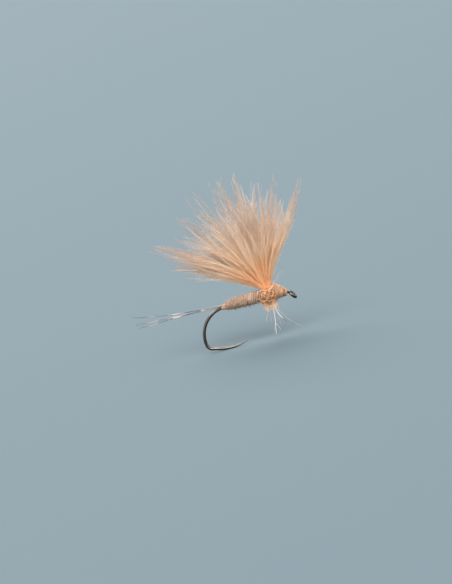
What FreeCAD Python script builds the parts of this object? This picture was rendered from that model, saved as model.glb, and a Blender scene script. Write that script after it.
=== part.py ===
import FreeCAD, Part
import math
import os

# Dry fly with an upright soft-feather wing, tied on a barbless down-eye hook.
# Millimetres. The origin is the centre of the hook's eye, +X runs forward along the
# shank, +Z is up through the wing and +Y is across the hook.

# --- Hook wire ---
WIRE_DIAMETER = 0.41
SHANK_LENGTH = 8.4
BEND_RADIUS = 3.68
BEND_SWEEP = 100.0
HEEL_RADIUS = 0.78
HEEL_SWEEP = 68.0
SPEAR_LENGTH = 1.18
POINT_CURVE_RADIUS = 6.4
POINT_SWEEP = 33.0
POINT_TIP_DIAMETER = 0.05

# --- Hook eye ---
EYE_OUTER_DIAMETER = 1.42
EYE_LAND_DEPTH = 0.02
EYE_TURN = 54.0
NECK_LENGTH = 0.02
NECK_INNER_RADIUS = 0.02

# --- Thread and fits ---
FIT_GAP = 0.012
CUT_OVERRUN = 1.0
THREAD_LAYER = 0.04
THREAD_PITCH = 0.12
THREAD_RIDGE = 0.025

# --- Tail ---
TAIL_LENGTH = 12.0
TAIL_FIBRE_DIAMETER = 0.10
TAIL_TIP_DIAMETER = 0.035
TAIL_BUTT_LENGTH = 1.0
TAIL_BINDING_LENGTH = 0.30
TAIL_BUTT_SPACING = 22.0
# For each fibre: height and side of its tip from its root, and its share of the length.
TAIL_FIBRES = (
    (0.40, -0.75, 0.97),
    (-0.25, -0.50, 0.96),
    (1.25, -0.35, 1.00),
    (-0.40, 0.30, 0.95),
    (1.05, 0.55, 0.98),
    (0.25, 0.85, 0.98),
)

# --- Abdomen ---
BODY_RISE = 0.08
ABDOMEN_REAR_WALL = 0.045
ABDOMEN_TAPER = 0.16
DUBBING_PITCH = 0.27
DUBBING_RIDGE = 0.035

# --- Thorax ---
THORAX_LENGTH = 2.45
THORAX_DIAMETER = 2.35
THORAX_BEHIND_EYE = 3.45

# --- Head ---
HEAD_REAR_BEHIND_EYE = 2.1
HEAD_FRONT_BEHIND_EYE = 0.95
HEAD_REAR_WALL = 0.17
HEAD_REAR_RISE = 0.38
HEAD_SLOPE = 17.0
HEAD_TAPER = 0.42
WHIP_LENGTH = 0.32
WHIP_STEP = 0.05

# --- Wing ---
WING_ROOT_BEHIND_EYE = 3.15
WING_ROOT_RISE = 0.68
STEM_DIAMETER = 0.14
STEM_TIP_DIAMETER = 0.05
STEM_SPACING = 0.19
STEM_BUTT_SPREAD = 33.0
STEM_CORNER = 1.2
STEM_SHARE = 0.62
BARB_START = 1.35
BARB_ROOT_THICKNESS = 0.60
BARB_SPREAD_ANGLE = 10.5
BARB_SIDE_GAP = 0.02
FAN_MIDDLE = 0.35
FAN_SHOULDER = 0.86
FAN_TIP_WIDTH = 0.45
# For each feather, front to back: lean from +X, half of its fan, and its length.
WING_FEATHERS = (
    (65.5, 7.8, 15.4),
    (82.5, 8.8, 15.3),
    (101.5, 9.8, 16.2),
    (124.0, 12.0, 15.2),
    (146.5, 10.0, 16.2),
)

# --- Legs ---
LEG_DIAMETER = 0.10
LEG_TIP_DIAMETER = 0.035
LEG_ROOT_BEHIND_EYE = 2.85
LEG_ROOT_SPACING = 24.0
LEG_BOW = 0.35
# For each fibre: how far forward, sideways and down its tip lies from the shank.
LEG_FIBRES = (
    (-1.30, -1.10, 3.10),
    (-0.42, -0.70, 4.95),
    (1.15, -0.55, 3.70),
    (3.00, 0.60, 4.95),
    (0.30, 0.95, 4.40),
    (-0.85, 1.25, 3.70),
)

# --- How finely the curved rods and ovals are drawn ---
POINT_STATIONS = 8
FIBRE_STATIONS = 10
STEM_STATIONS = 24
OVAL_POINTS = 12

# --- What follows from them ---
wire_radius = WIRE_DIAMETER / 2
ring_radius = EYE_OUTER_DIAMETER / 2 - wire_radius
eye_bore_radius = ring_radius - wire_radius + EYE_LAND_DEPTH
eye_turn = math.radians(EYE_TURN)
neck_reach = ring_radius + NECK_LENGTH
neck_radius = wire_radius + NECK_INNER_RADIUS
shank_height = neck_reach * math.sin(eye_turn) + neck_radius * (1 - math.cos(eye_turn))
shank_front = -neck_reach * math.cos(eye_turn) - neck_radius * math.sin(eye_turn)
shank_rear = shank_front - SHANK_LENGTH

foundation_bore = wire_radius + FIT_GAP
foundation_radius = foundation_bore + THREAD_LAYER
foundation_front = shank_front - FIT_GAP
foundation_rear = shank_rear - TAIL_BINDING_LENGTH / 2
tail_ring = foundation_radius + FIT_GAP + TAIL_FIBRE_DIAMETER / 2
tail_binding_bore = tail_ring + TAIL_FIBRE_DIAMETER / 2 + FIT_GAP
tail_binding_radius = tail_binding_bore + THREAD_LAYER
abdomen_rear = foundation_rear + TAIL_BINDING_LENGTH + FIT_GAP
thorax_rear = -THORAX_BEHIND_EYE - THORAX_LENGTH / 2
abdomen_front = thorax_rear + BODY_RISE
abdomen_rear_radius = tail_binding_bore + BODY_RISE + ABDOMEN_REAR_WALL
abdomen_front_radius = abdomen_rear_radius + ABDOMEN_TAPER

stem_ring = foundation_radius + FIT_GAP + STEM_DIAMETER / 2
wing_binding_bore = stem_ring + STEM_DIAMETER / 2 + FIT_GAP
wing_binding_radius = wing_binding_bore + THREAD_LAYER
head_bore = wing_binding_radius + FIT_GAP
head_rear_radius = head_bore + HEAD_REAR_RISE + HEAD_REAR_WALL
head_length = (HEAD_REAR_BEHIND_EYE - HEAD_FRONT_BEHIND_EYE) / math.cos(math.radians(HEAD_SLOPE))
head_front_radius = head_rear_radius - HEAD_TAPER
wing_root = FreeCAD.Vector(-WING_ROOT_BEHIND_EYE, 0, shank_height + WING_ROOT_RISE)

ACROSS = FreeCAD.Vector(0, 1, 0)
FORWARD = FreeCAD.Vector(1, 0, 0)


def direction(degrees):
    """A unit vector in the hook's plane, measured from +X towards +Z."""
    angle = math.radians(degrees)
    return FreeCAD.Vector(math.cos(angle), 0, math.sin(angle))


def around_shank(x, degrees, radius):
    """A point at a distance from the shank's axis, where 0 degrees is straight up."""
    angle = math.radians(degrees)
    side = radius * math.sin(angle)
    return FreeCAD.Vector(x, side, shank_height + radius * math.cos(angle))


def disc(centre, normal, radius):
    return Part.Face(Part.Wire(Part.makeCircle(radius, centre, normal)))


def straight_wire(start, heading, length):
    """A straight run of hook wire, and where it ends."""
    along = direction(heading)
    run = Part.makeCylinder(wire_radius, length, start, along)
    return run, start + along * length


def bend_centre(start, heading, radius):
    return start + direction(heading + 90) * radius


def bent_wire(start, heading, radius, sweep):
    """A run of hook wire bent to an arc, with where it ends and its new heading."""
    centre = bend_centre(start, heading, radius)
    section = disc(start, direction(heading), wire_radius)
    run = section.revolve(centre, -ACROSS, sweep)
    end = centre - direction(heading + sweep + 90) * radius
    return run, end, heading + sweep


def tapered_rod(path, start_radius, end_radius, stations):
    """A rod that thins evenly along a path, a function of 0 to 1 that gives a place and a heading."""
    sections = []
    for index in range(stations + 1):
        share = index / stations
        place, heading = path(share)
        radius = start_radius + (end_radius - start_radius) * share
        sections.append(Part.Wire(Part.makeCircle(radius, place, heading)))
    return Part.makeLoft(sections, True, True)


def along_curve(curve):
    """The path of a curve, for tapered_rod."""
    first, last = curve.FirstParameter, curve.LastParameter

    def path(share):
        parameter = first + (last - first) * share
        return curve.value(parameter), FreeCAD.Vector(*curve.tangent(parameter)[0])

    return path


def wound_sleeve(bore, rear_radius, front_radius, length, pitch, ridge):
    """A wound layer on the X axis from x = 0, with a rounded ridge for each turn."""
    turns = max(2, round(length / pitch))
    width = length / turns
    edges = []
    for turn in range(turns):
        radii = [
            rear_radius + (front_radius - rear_radius) * (turn + share) / turns
            for share in (0, 0.5, 1)
        ]
        start = FreeCAD.Vector(turn * width, 0, radii[0] - ridge)
        crest = FreeCAD.Vector((turn + 0.5) * width, 0, radii[1])
        end = FreeCAD.Vector((turn + 1) * width, 0, radii[2] - ridge)
        edges.append(Part.Arc(start, crest, end).toShape())
    rear = FreeCAD.Vector(0, 0, rear_radius - ridge)
    front = FreeCAD.Vector(length, 0, front_radius - ridge)
    inner_front = FreeCAD.Vector(length, 0, bore)
    inner_rear = FreeCAD.Vector(0, 0, bore)
    edges.append(Part.makeLine(front, inner_front))
    edges.append(Part.makeLine(inner_front, inner_rear))
    edges.append(Part.makeLine(inner_rear, rear))
    return Part.Face(Part.Wire(edges)).revolve(FreeCAD.Vector(0, 0, 0), FORWARD, 360)


def shank_cylinder(radius, rear, front):
    return Part.makeCylinder(radius, front - rear, around_shank(rear, 0, 0), FORWARD)


def on_shank(sleeve, x, rise=0):
    sleeve.translate(around_shank(x, 0, rise))
    return sleeve


def make_hook():
    """Eye ring, turned-down neck, straight shank, round bend, tight heel and bare point."""
    ring_axis = direction(90 - EYE_TURN)
    ring = Part.makeTorus(ring_radius, wire_radius, FreeCAD.Vector(0, 0, 0), ring_axis)
    heading = 180 - EYE_TURN
    neck, place = straight_wire(direction(heading) * ring_radius, heading, NECK_LENGTH)
    turn, place, heading = bent_wire(place, heading, neck_radius, EYE_TURN)
    shank, place = straight_wire(place, heading, SHANK_LENGTH)
    bend, place, heading = bent_wire(place, heading, BEND_RADIUS, BEND_SWEEP)
    heel, place, heading = bent_wire(place, heading, HEEL_RADIUS, HEEL_SWEEP)
    spear, place = straight_wire(place, heading, SPEAR_LENGTH)
    centre = bend_centre(place, heading, POINT_CURVE_RADIUS)

    def point_path(share):
        turned = heading + POINT_SWEEP * share
        return centre - direction(turned + 90) * POINT_CURVE_RADIUS, direction(turned)

    point = tapered_rod(point_path, wire_radius, POINT_TIP_DIAMETER / 2, POINT_STATIONS)
    hook = ring.fuse([neck, turn, shank, bend, heel, spear, point])
    land = Part.makeCylinder(
        eye_bore_radius, 2 * ring_radius, ring_axis * -ring_radius, ring_axis
    )
    return hook.cut(land).removeSplitter()


def make_thread_foundation():
    """The first layer of thread, laid on the bare shank."""
    length = foundation_front - foundation_rear
    sleeve = Part.makeCylinder(foundation_radius, length)
    sleeve = sleeve.cut(Part.makeCylinder(foundation_bore, length))
    sleeve.rotate(FreeCAD.Vector(0, 0, 0), ACROSS, 90)
    return on_shank(sleeve, foundation_rear)


def tail_fibre(number, growth=0):
    """One tail fibre, from its butt under the abdomen to its tip."""
    rise, side, share_of_length = TAIL_FIBRES[number]
    place = (number - (len(TAIL_FIBRES) - 1) / 2) * TAIL_BUTT_SPACING
    butt = around_shank(shank_rear + TAIL_BUTT_LENGTH, place, tail_ring)
    bound = FreeCAD.Vector(foundation_rear, butt.y, butt.z)
    free = TAIL_LENGTH * share_of_length
    tip = bound + FreeCAD.Vector(-free, side, rise)
    curve = Part.BSplineCurve()
    curve.buildFromPoles([butt, bound, bound - FORWARD * (free / 2), tip], False, 2)
    root_radius = TAIL_FIBRE_DIAMETER / 2 + growth
    tip_radius = TAIL_TIP_DIAMETER / 2 + growth
    return tapered_rod(along_curve(curve), root_radius, tip_radius, FIBRE_STATIONS)


def make_tail_binding():
    """The turns of thread that hold the tail at the end of the shank."""
    sleeve = wound_sleeve(
        tail_binding_bore,
        tail_binding_radius + THREAD_RIDGE,
        tail_binding_radius + THREAD_RIDGE,
        TAIL_BINDING_LENGTH,
        THREAD_PITCH,
        THREAD_RIDGE,
    )
    return on_shank(sleeve, foundation_rear)


def make_abdomen():
    """The wound abdomen, hollow over the shank and over the butts of the tail."""
    body = wound_sleeve(
        0,
        abdomen_rear_radius,
        abdomen_front_radius,
        abdomen_front - abdomen_rear,
        DUBBING_PITCH,
        DUBBING_RIDGE,
    )
    body = on_shank(body, abdomen_rear, BODY_RISE)
    bore_front = abdomen_front + CUT_OVERRUN
    shank_bore = shank_cylinder(foundation_radius + FIT_GAP, shank_rear, bore_front)
    butts_end = shank_rear + TAIL_BUTT_LENGTH + FIT_GAP
    butt_bore = shank_cylinder(tail_binding_bore, shank_rear - CUT_OVERRUN, butts_end)
    return body.cut([shank_bore, butt_bore])


def feather_side(number):
    """How far to the side of the hook's plane a feather's stem stands."""
    return (number - (len(WING_FEATHERS) - 1) / 2) * STEM_SPACING


def feather_line(number):
    """The point that a feather's straight part starts from, and its direction."""
    lean = WING_FEATHERS[number][0]
    start = wing_root + ACROSS * feather_side(number)
    return start, direction(lean)


def wing_stem(number, growth=0):
    """One feather stem: its butt lies along the shank, then it turns up into the wing."""
    lean, _, length = WING_FEATHERS[number]
    start, along = feather_line(number)
    place = (number - (len(WING_FEATHERS) - 1) / 2) * STEM_BUTT_SPREAD
    butt = around_shank(-HEAD_FRONT_BEHIND_EYE - 2 * FIT_GAP, place, stem_ring)
    corner = start - along * ((start.z - butt.z) / math.sin(math.radians(lean)))
    bound = FreeCAD.Vector(-HEAD_REAR_BEHIND_EYE, butt.y, butt.z)
    level = FreeCAD.Vector((bound.x + corner.x) / 2, butt.y, butt.z)
    risen = corner + along * STEM_CORNER
    curve = Part.BSplineCurve()
    tip = start + along * (length * STEM_SHARE)
    curve.buildFromPoles([butt, bound, level, corner, risen, tip], False, 2)
    root_radius = STEM_DIAMETER / 2 + growth
    tip_radius = STEM_TIP_DIAMETER / 2 + growth
    return tapered_rod(along_curve(curve), root_radius, tip_radius, STEM_STATIONS)


def oval(centre, across_fan, half_width, half_thickness):
    """A closed oval section, wide across the fan and thick along Y."""
    points = []
    for step in range(OVAL_POINTS):
        angle = 2 * math.pi * step / OVAL_POINTS
        in_fan = across_fan * (half_width * math.cos(angle))
        points.append(centre + in_fan + ACROSS * (half_thickness * math.sin(angle)))
    curve = Part.BSplineCurve()
    curve.interpolate(points, PeriodicFlag=True)
    return Part.Wire(curve.toShape())


def wing_barbs(number):
    """The soft barbs of one feather as a closed fan, hollow over its stem."""
    lean, half_fan, length = WING_FEATHERS[number]
    along = direction(lean)
    across_fan = direction(lean + 90)
    fan_slope = math.tan(math.radians(half_fan))
    side_slope = math.tan(math.radians(BARB_SPREAD_ANGLE))
    shoulder = length * FAN_SHOULDER
    stations = (
        (BARB_START, 1),
        (length * FAN_MIDDLE, 1),
        (shoulder, 1),
        (length, FAN_TIP_WIDTH),
    )
    sections = []
    for distance, share in stations:
        reach = min(distance, shoulder)
        width = (reach * fan_slope - BARB_SIDE_GAP) * share
        thickness = (BARB_ROOT_THICKNESS / 2 + reach * side_slope) * share
        sections.append(oval(wing_root + along * distance, across_fan, width, thickness))
    fan = Part.makeLoft(sections, True, True)
    return fan.cut(wing_stem(number, FIT_GAP))


def make_wing_binding():
    """The turns of thread that lash the feather butts on top of the shank."""
    length = HEAD_REAR_BEHIND_EYE - HEAD_FRONT_BEHIND_EYE
    radius = wing_binding_radius
    sleeve = wound_sleeve(wing_binding_bore, radius, radius, length, THREAD_PITCH, THREAD_LAYER / 2)
    return on_shank(sleeve, -HEAD_REAR_BEHIND_EYE)


def slope_head(shape):
    """Lays a shape that runs along X from 0 on the head's sloping axis."""
    shape.rotate(FreeCAD.Vector(0, 0, 0), ACROSS, HEAD_SLOPE)
    return on_shank(shape, -HEAD_REAR_BEHIND_EYE, HEAD_REAR_RISE)


def make_head():
    """The tapered thread head, wound over the feather butts."""
    cone = wound_sleeve(0, head_rear_radius, head_front_radius, head_length, THREAD_PITCH, THREAD_RIDGE)
    bore = shank_cylinder(head_bore, -HEAD_REAR_BEHIND_EYE - CUT_OVERRUN, shank_front)
    return slope_head(cone).cut(bore)


def make_whip_finish():
    """The last turns, which lock the thread behind the eye."""
    radius = head_front_radius - WHIP_STEP
    turns = wound_sleeve(0, radius, radius - WHIP_STEP, WHIP_LENGTH, THREAD_PITCH, THREAD_RIDGE)
    turns.translate(FORWARD * (head_length + FIT_GAP))
    bore = shank_cylinder(foundation_radius + FIT_GAP, -HEAD_REAR_BEHIND_EYE, 0)
    past_binding = shank_cylinder(head_bore, -HEAD_REAR_BEHIND_EYE, FIT_GAP - HEAD_FRONT_BEHIND_EYE)
    return slope_head(turns).cut([bore, past_binding])


def leg_fibre(number, growth=0):
    """One leg fibre, from under the thorax to its tip."""
    forward, side, down = LEG_FIBRES[number]
    place = 180 - (number - (len(LEG_FIBRES) - 1) / 2) * LEG_ROOT_SPACING
    ring = foundation_radius + FIT_GAP + LEG_DIAMETER / 2
    root = around_shank(-LEG_ROOT_BEHIND_EYE, place, ring)
    tip = FreeCAD.Vector(root.x + forward, root.y + side, shank_height - down)
    middle = FreeCAD.Vector(root.x + forward * LEG_BOW, root.y + side / 2, (root.z + tip.z) / 2)
    curve = Part.BezierCurve()
    curve.setPoles([root, middle, tip])
    root_radius = LEG_DIAMETER / 2 + growth
    tip_radius = LEG_TIP_DIAMETER / 2 + growth
    return tapered_rod(along_curve(curve), root_radius, tip_radius, FIBRE_STATIONS)


def make_thorax():
    """The rough ball of dubbing round the wing's root, hollow over all that it is wound on."""
    origin = FreeCAD.Vector(0, 0, 0)
    half_length = THORAX_LENGTH / 2
    outline = Part.Ellipse(origin, half_length, THORAX_DIAMETER / 2)
    half = Part.ArcOfEllipse(outline, 0, math.pi).toShape()
    axis = Part.makeLine(-FORWARD * half_length, FORWARD * half_length)
    ball = Part.Face(Part.Wire([half, axis])).revolve(origin, FORWARD, 360)
    ball = on_shank(ball, -THORAX_BEHIND_EYE)
    hollow = [shank_cylinder(foundation_radius + FIT_GAP, shank_rear, 0)]
    hollow += [wing_stem(number, FIT_GAP) for number in range(len(WING_FEATHERS))]
    hollow += [leg_fibre(number, FIT_GAP) for number in range(len(LEG_FIBRES))]
    behind_head = Part.makeCylinder(
        head_rear_radius + FIT_GAP, head_length, FreeCAD.Vector(-FIT_GAP, 0, 0), FORWARD
    )
    hollow.append(slope_head(behind_head))
    rear_plug = Part.makeCylinder(
        abdomen_front_radius + FIT_GAP,
        2 * BODY_RISE,
        around_shank(abdomen_front + FIT_GAP - 2 * BODY_RISE, 0, BODY_RISE),
        FORWARD,
    )
    hollow.append(rear_plug)
    return ball.cut(hollow)


def save(name, shape):
    solids = shape.Solids
    if not solids or not shape.isValid():
        raise ValueError(f"{name} is not a sound solid")
    if len(solids) == 1:
        shape = solids[0]
    shape.exportStep(f"parts/{name}.step")
    box = shape.optimalBoundingBox(False)
    print(
        f"{name:20s} solids {len(solids)} volume {shape.Volume:.4f} "
        f"x {box.XMin:.2f} {box.XMax:.2f} y {box.YMin:.2f} {box.YMax:.2f} z {box.ZMin:.2f} {box.ZMax:.2f}"
    )


os.makedirs("parts", exist_ok=True)
save("hook", make_hook())
save("thread_foundation", make_thread_foundation())
save("tail_binding", make_tail_binding())
save("abdomen_dubbing", make_abdomen())
save("wing_binding", make_wing_binding())
save("thorax_dubbing", make_thorax())
save("head_thread", make_head())
save("whip_finish", make_whip_finish())
for number in range(len(TAIL_FIBRES)):
    save(f"tail_fibre_{number + 1}", tail_fibre(number))
for number in range(len(WING_FEATHERS)):
    save(f"wing_stem_{number + 1}", wing_stem(number))
    save(f"wing_barbs_{number + 1}", wing_barbs(number))
for number in range(len(LEG_FIBRES)):
    save(f"leg_fibre_{number + 1}", leg_fibre(number))
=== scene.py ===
import math

import bmesh
import bpy
import numpy as np
from mathutils import Matrix, Vector, noise


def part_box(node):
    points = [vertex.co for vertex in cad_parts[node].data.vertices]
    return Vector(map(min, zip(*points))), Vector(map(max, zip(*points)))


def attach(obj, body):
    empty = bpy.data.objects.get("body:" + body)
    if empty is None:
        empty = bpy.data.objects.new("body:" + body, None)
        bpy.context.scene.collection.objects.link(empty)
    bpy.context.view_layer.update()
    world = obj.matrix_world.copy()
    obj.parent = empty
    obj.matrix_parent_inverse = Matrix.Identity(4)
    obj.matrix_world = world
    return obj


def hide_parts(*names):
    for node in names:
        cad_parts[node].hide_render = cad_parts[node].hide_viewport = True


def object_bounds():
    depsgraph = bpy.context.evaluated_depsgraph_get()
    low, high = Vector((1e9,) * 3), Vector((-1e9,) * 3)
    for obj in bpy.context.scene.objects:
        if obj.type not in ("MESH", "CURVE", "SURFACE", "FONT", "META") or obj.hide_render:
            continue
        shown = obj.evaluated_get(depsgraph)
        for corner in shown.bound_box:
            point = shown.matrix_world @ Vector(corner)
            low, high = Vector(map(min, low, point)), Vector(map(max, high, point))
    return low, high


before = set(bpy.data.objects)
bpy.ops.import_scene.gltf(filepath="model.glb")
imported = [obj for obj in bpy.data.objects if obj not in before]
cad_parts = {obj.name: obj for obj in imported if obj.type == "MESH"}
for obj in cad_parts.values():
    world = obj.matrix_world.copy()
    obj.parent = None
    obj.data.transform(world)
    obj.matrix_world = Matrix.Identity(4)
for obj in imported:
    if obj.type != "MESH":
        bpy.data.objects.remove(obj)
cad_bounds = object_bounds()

bl_info = {
    "name": "Dry Fly",
    "version": (1, 0, 0),
    "blender": (4, 5, 0),
    "location": "3D View > Sidebar > Dry Fly",
    "description": "Ties a soft-winged dry fly round its packed hook, body and binding",
    "category": "Object",
}

MM = 0.001
BODY = "root"
ACROSS = Vector((0, 1, 0))

# Lengths below are in millimetres, as a fly tyer reads them; seal() turns each mesh to metres.
# Lengths in materials are in metres.
shank_low, shank_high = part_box("thread_foundation")
SHANK_HEIGHT = (shank_low.z + shank_high.z) / 2 / MM
SHANK_FRONT = shank_high.x / MM
SHANK_LENGTH = 8.4
# The thread stops this far short of the bend.
THREAD_MARGIN = 0.012
SHANK_REAR = SHANK_FRONT - SHANK_LENGTH + THREAD_MARGIN
WIRE_RADIUS = 0.205
# How finely windings and turned cores are cut.
STEPS_PER_TURN = 40
CORE_SIDES = 40

# The wing's clumps by feather: lean from +X in degrees, length, looseness in degrees, share of the barbs
# and how many degrees the tips curl back.
WING_CLUMPS = (
    ((59.0, 15.8, 2.6, 0.34, 13), (65.5, 13.0, 7.0, 0.26, 8), (72.0, 15.3, 6.5, 0.40, 3)),
    ((81.0, 14.8, 8.5, 0.52, 0), (89.5, 14.9, 11.0, 0.48, 0)),
    ((93.0, 16.2, 10.0, 0.36, 0), (101.5, 15.9, 11.0, 0.38, 0), (115.0, 16.6, 7.5, 0.26, 0)),
    ((118.0, 13.8, 12.0, 0.30, 2), (125.5, 15.0, 11.0, 0.36, 3), (135.0, 14.0, 9.0, 0.34, 3)),
    ((145.0, 16.5, 6.0, 0.62, 3), (153.5, 13.0, 3.6, 0.38, 9)),
)


# --- Sizes and colours a user may change ---


def colour_setting(name, description, default):
    return bpy.props.FloatVectorProperty(
        name=name, description=description, default=default, subtype="COLOR", min=0, max=1
    )


def length_setting(name, description, default):
    return bpy.props.FloatProperty(
        name=name, description=description, default=default, unit="LENGTH", precision=5
    )


class WingSettings(bpy.types.PropertyGroup):
    barbs_per_feather: bpy.props.IntProperty(
        name="Barbs per feather", description="Soft barbs on each wing feather", default=100, min=5
    )
    barbules_per_barb: bpy.props.IntProperty(
        name="Barbules per barb", description="Fine hairs on each barb", default=380, min=10
    )
    barbule_length: length_setting("Barbule length", "Longest barbule", 0.95 * MM)
    root_colour: colour_setting("Root colour", "Dyed barbs at the wing's root", (0.99, 0.64, 0.295))
    middle_colour: colour_setting("Middle colour", "Dyed barbs half way up", (0.99, 0.84, 0.67))
    tip_colour: colour_setting("Tip colour", "Barbs at the wing's edge", (0.62, 0.47, 0.385))


class BodySettings(bpy.types.PropertyGroup):
    abdomen_colour: colour_setting("Abdomen colour", "Spun fur of the abdomen", (0.33, 0.205, 0.128))
    thorax_colour: colour_setting("Thorax colour", "Coarse fur of the thorax", (0.60, 0.27, 0.115))
    curl_colour: colour_setting("Curl colour", "Palest curled fibres of the thorax", (0.97, 0.57, 0.32))
    turn_pitch: length_setting("Turn pitch", "Width of one turn of dubbing", 0.30 * MM)
    curly_fibres: bpy.props.IntProperty(
        name="Curly fibres", description="Coarse curled fibres on the thorax", default=112, min=0
    )


class HookSettings(bpy.types.PropertyGroup):
    wire_diameter: length_setting("Wire diameter", "Diameter of the hook's wire", 2 * WIRE_RADIUS * MM)
    bronze_colour: colour_setting("Bronze colour", "Bronzed finish of the wire", (0.10, 0.078, 0.066))


class ThreadSettings(bpy.types.PropertyGroup):
    pitch: length_setting("Thread pitch", "Spacing of the turns on the head", 0.155 * MM)
    colour: colour_setting("Thread colour", "Waxed tying thread", (0.335, 0.165, 0.078))


class HackleSettings(bpy.types.PropertyGroup):
    tail_length: length_setting("Tail length", "Free length of the longest tail fibre", 12.0 * MM)
    tail_dark: colour_setting("Dark bars", "Dark bars of the tail fibres", (0.020, 0.017, 0.018))
    tail_pale: colour_setting("Pale bars", "Pale stretches of the tail fibres", (0.37, 0.29, 0.265))
    leg_colour: colour_setting("Leg colour", "Pale leg fibres", (0.66, 0.57, 0.545))


class StageSettings(bpy.types.PropertyGroup):
    floor_colour: colour_setting("Floor colour", "Plain floor under the fly", (0.086, 0.115, 0.128))
    distance: length_setting("Camera distance", "Camera to the middle of the view", 0.40)
    view_width: length_setting("View width", "Width of the view at the fly", 0.0583)


# --- Meshes ---


def direction(degrees):
    """A unit vector in the hook's plane, measured from +X towards +Z."""
    angle = math.radians(degrees)
    return Vector((math.cos(angle), 0, math.sin(angle)))


def mesh_of(bm, name):
    """Turns a finished bmesh into a mesh."""
    mesh = bpy.data.meshes.new(name)
    bm.to_mesh(mesh)
    bm.free()
    return mesh


def rod(sides, rings):
    """A straight closed rod of radius 1 from z = 0 to z = 1."""
    bm = bmesh.new()
    middle = Matrix.Translation((0, 0, 0.5))
    bmesh.ops.create_cone(
        bm, cap_ends=True, segments=sides, radius1=1, radius2=1, depth=1, matrix=middle
    )
    long_edges = [edge for edge in bm.edges if abs(edge.verts[0].co.z - edge.verts[1].co.z) > 0.5]
    bmesh.ops.subdivide_edges(bm, edges=long_edges, cuts=rings - 1, use_grid_fill=True)
    return mesh_of(bm, "rod")


def points_of(mesh):
    points = np.empty(len(mesh.vertices) * 3)
    mesh.vertices.foreach_get("co", points)
    return points.reshape(-1, 3)


def unit(vectors):
    return vectors / np.linalg.norm(vectors, axis=-1, keepdims=True)


def untwisted(tangent):
    """Normals that turn as little as they can along a path."""
    normal = np.empty_like(tangent)
    # Any start that no path runs along.
    last = np.array([0.13, 1.0, 0.21])
    for index, heading in enumerate(tangent):
        last = last - heading * (last @ heading)
        last = last / np.linalg.norm(last)
        normal[index] = last
    return normal


def follow(points, path, outward=None):
    """Bends points whose z runs from 0 to 1 so that they lie along a path."""
    steps = np.linalg.norm(np.diff(path, axis=0), axis=1)
    share = np.concatenate(([0], np.cumsum(steps))) / steps.sum()
    tangent = unit(np.gradient(path, axis=0))
    normal = untwisted(tangent) if outward is None else outward
    side = unit(np.cross(tangent, normal))
    normal = np.cross(side, tangent)

    def at(values):
        return np.stack([np.interp(points[:, 2], share, values[:, axis]) for axis in range(3)], axis=1)

    return at(path) + points[:, :1] * at(normal) + points[:, 1:2] * at(side)


class Bundle:
    """Fibres laid one by one into a mesh, with how far along its fibre and how light each point is."""

    def __init__(self):
        self.bm = bmesh.new()
        self.along = []
        self.tone = []

    def lay(self, template, path, tone, radii=(1, 1), outward=None, flat=1):
        """Lays a copy of a template along a path, thinning from the first radius to the last."""
        points = points_of(template)
        share = points[:, 2].copy()
        width = radii[0] + (radii[1] - radii[0]) * share
        points[:, 0] *= width * flat
        points[:, 1] *= width
        mesh = template.copy()
        mesh.vertices.foreach_set("co", follow(points, path, outward).ravel())
        self.add(mesh, share, tone)

    def add(self, mesh, share, tone):
        self.bm.from_mesh(mesh)
        self.along.append(share)
        self.tone.append(np.full(len(share), tone))
        bpy.data.meshes.remove(mesh)

    def add_solid(self, bm, tone):
        """Adds a solid made apart, which has no fibres of its own; a low tone lets its material paint it
        dark as shade.
        """
        mesh = mesh_of(bm, "solid")
        self.add(mesh, np.zeros(len(mesh.vertices)), tone)

    def seal(self, name, material, slot, *nodes):
        """Makes the finished piece, which stands for its CAD nodes."""
        along = np.concatenate(self.along)
        tone = np.concatenate(self.tone)
        piece = seal(self.bm, name, material, slot, *nodes)
        for label, values in (("along", along), ("tone", tone)):
            attribute = piece.data.attributes.new(label, "FLOAT", "POINT")
            attribute.data.foreach_set("value", values.astype(np.float32))
        return piece


def into_scene(name, data):
    made = bpy.data.objects.new(name, data)
    bpy.context.scene.collection.objects.link(made)
    return made


def seal(bm, name, material, slot, *nodes):
    """Turns millimetres to metres and makes a piece that rides on the fly."""
    bmesh.ops.scale(bm, vec=(MM, MM, MM), verts=bm.verts)
    mesh = mesh_of(bm, name)
    mesh.shade_smooth()
    mesh.materials.append(material)
    piece = into_scene(name, mesh)
    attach(piece, BODY)
    if nodes:
        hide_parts(*nodes)
    return piece


def drop(*meshes):
    for mesh in meshes:
        bpy.data.meshes.remove(mesh)


# --- Materials ---


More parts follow.
